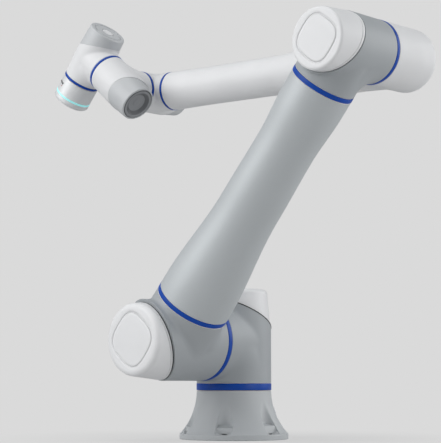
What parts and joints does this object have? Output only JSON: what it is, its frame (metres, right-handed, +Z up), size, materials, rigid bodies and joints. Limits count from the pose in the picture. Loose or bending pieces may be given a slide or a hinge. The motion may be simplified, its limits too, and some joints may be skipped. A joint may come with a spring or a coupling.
{
  "type": "collaborative robot arm",
  "caption": "Six-axis collaborative robot arm with mitred joint housings, slanted covers, coloured joint rings, a flared bolt-down foot and a lit tool flange.",
  "frame": {"origin": "centre of the foot's underside, on the base axis", "axes": "+Z up along the base axis; the shoulder, elbow and first wrist axes run along Y; at rest the upper arm leans towards +X and the forearm points to -X"},
  "size_m": [0.7865, 0.3645, 0.7837],
  "materials": {
    "grey_casting": "semi-gloss grey powder coat",
    "white_shell": "semi-gloss white powder coat",
    "white_cover": "white moulded plastic",
    "grey_cover": "light grey moulded plastic",
    "silver_tube": "silver metallic coat",
    "blue_trim": "blue moulded ring",
    "black_rubber": "black seal",
    "drive_steel": "machined",
    "tool_metal": "anodised",
    "light_lens": "translucent light ring",
    "red_lens": "red lamp lens",
    "dish_grey": "dark grey moulded plastic"
  },
  "bodies": {
    "base": {"base_foot": "grey_casting", "base_socket": "drive_steel", "base_output": "drive_steel"},
    "shoulder": {"shoulder_housing": "grey_casting", "shoulder_gasket": "black_rubber", "shoulder_top_cap": "white_cover", "shoulder_top_panel": "white_cover", "base_ring": "blue_trim", "base_motor": "drive_steel", "base_reducer": "drive_steel", "shoulder_output": "drive_steel"},
    "upper_arm": {"lower_joint_housing": "grey_casting", "lower_joint_gasket": "black_rubber", "lower_joint_cap": "white_cover", "lower_joint_panel": "white_cover", "shoulder_ring": "blue_trim", "shoulder_motor": "drive_steel", "shoulder_reducer": "drive_steel", "lower_tube_ring": "blue_trim", "upper_arm_tube": "silver_tube", "upper_tube_ring": "blue_trim", "upper_joint_housing": "grey_casting", "upper_joint_gasket": "black_rubber", "upper_joint_cap": "white_cover", "upper_joint_panel": "white_cover", "elbow_ring": "blue_trim", "elbow_motor": "drive_steel", "elbow_reducer": "drive_steel"},
    "forearm": {"elbow_output": "drive_steel", "forearm_elbow": "white_shell", "forearm_tube": "white_shell", "forearm_ring": "blue_trim", "wrist_1_housing": "white_shell", "wrist_1_cap": "grey_cover", "wrist_1_dish": "dish_grey", "wrist_1_ring": "blue_trim", "wrist_1_motor": "drive_steel", "wrist_1_reducer": "drive_steel"},
    "wrist_link_1": {"wrist_1_output": "drive_steel", "wrist_2_housing": "white_shell", "wrist_2_cap": "grey_cover", "wrist_2_dish": "dish_grey", "wrist_2_ring": "blue_trim", "wrist_2_motor": "drive_steel", "wrist_2_reducer": "drive_steel"},
    "wrist_link_2": {"wrist_2_output": "drive_steel", "wrist_3_housing": "white_shell", "wrist_3_cap": "grey_cover", "wrist_3_disc": "white_cover", "wrist_3_ring": "blue_trim", "wrist_3_motor": "drive_steel", "wrist_3_reducer": "drive_steel"},
    "tool_end": {"wrist_3_output": "drive_steel", "tool_housing": "white_shell", "light_ring": "light_lens", "tool_flange": "tool_metal", "status_lamp": "red_lens"},
    "button_a": {"button_1": "black_rubber"},
    "button_b": {"button_2": "black_rubber"},
    "button_c": {"button_3": "black_rubber"}
  },
  "joints": [
    {"name": "base_turn", "type": "hinge", "parent": "base", "child": "shoulder", "pos_m": [0, 0, 0.175], "axis": [0, 0, 1], "range_deg": [-360, 360]},
    {"name": "shoulder_tilt", "type": "hinge", "parent": "shoulder", "child": "upper_arm", "pos_m": [0, -0.165, 0.175], "axis": [0, 1, 0], "range_deg": [-360, 360]},
    {"name": "elbow_tilt", "type": "hinge", "parent": "upper_arm", "child": "forearm", "pos_m": [0.38692, -0.165, 0.6427], "axis": [0, 1, 0], "range_deg": [-26, 283]},
    {"name": "wrist_1_tilt", "type": "hinge", "parent": "forearm", "child": "wrist_link_1", "pos_m": [-0.17803, -0.0285, 0.65059], "axis": [0, 1, 0], "range_deg": [-360, 360]},
    {"name": "wrist_2_turn", "type": "hinge", "parent": "wrist_link_1", "child": "wrist_link_2", "pos_m": [-0.17803, -0.1145, 0.65059], "axis": [-0.7615, 0, 0.6481], "range_deg": [-360, 360]},
    {"name": "wrist_3_turn", "type": "hinge", "parent": "wrist_link_2", "child": "tool_end", "pos_m": [-0.25571, -0.1145, 0.7167], "axis": [-0.6481, 0, -0.7615], "range_deg": [-360, 360]},
    {"name": "button_a_press", "type": "slide", "parent": "tool_end", "child": "button_a", "axis": [0.1583, 0.9781, -0.1348], "range_m": [0, 0.0008], "stiffness_N_per_m": 600, "springref_m": -0.001},
    {"name": "button_b_press", "type": "slide", "parent": "tool_end", "child": "button_b", "axis": [0.2853, 0.9272, -0.2428], "range_m": [0, 0.0008], "stiffness_N_per_m": 600, "springref_m": -0.001},
    {"name": "button_c_press", "type": "slide", "parent": "tool_end", "child": "button_c", "axis": [0.4036, 0.848, -0.3435], "range_m": [0, 0.0008], "stiffness_N_per_m": 600, "springref_m": -0.001}
  ]
}
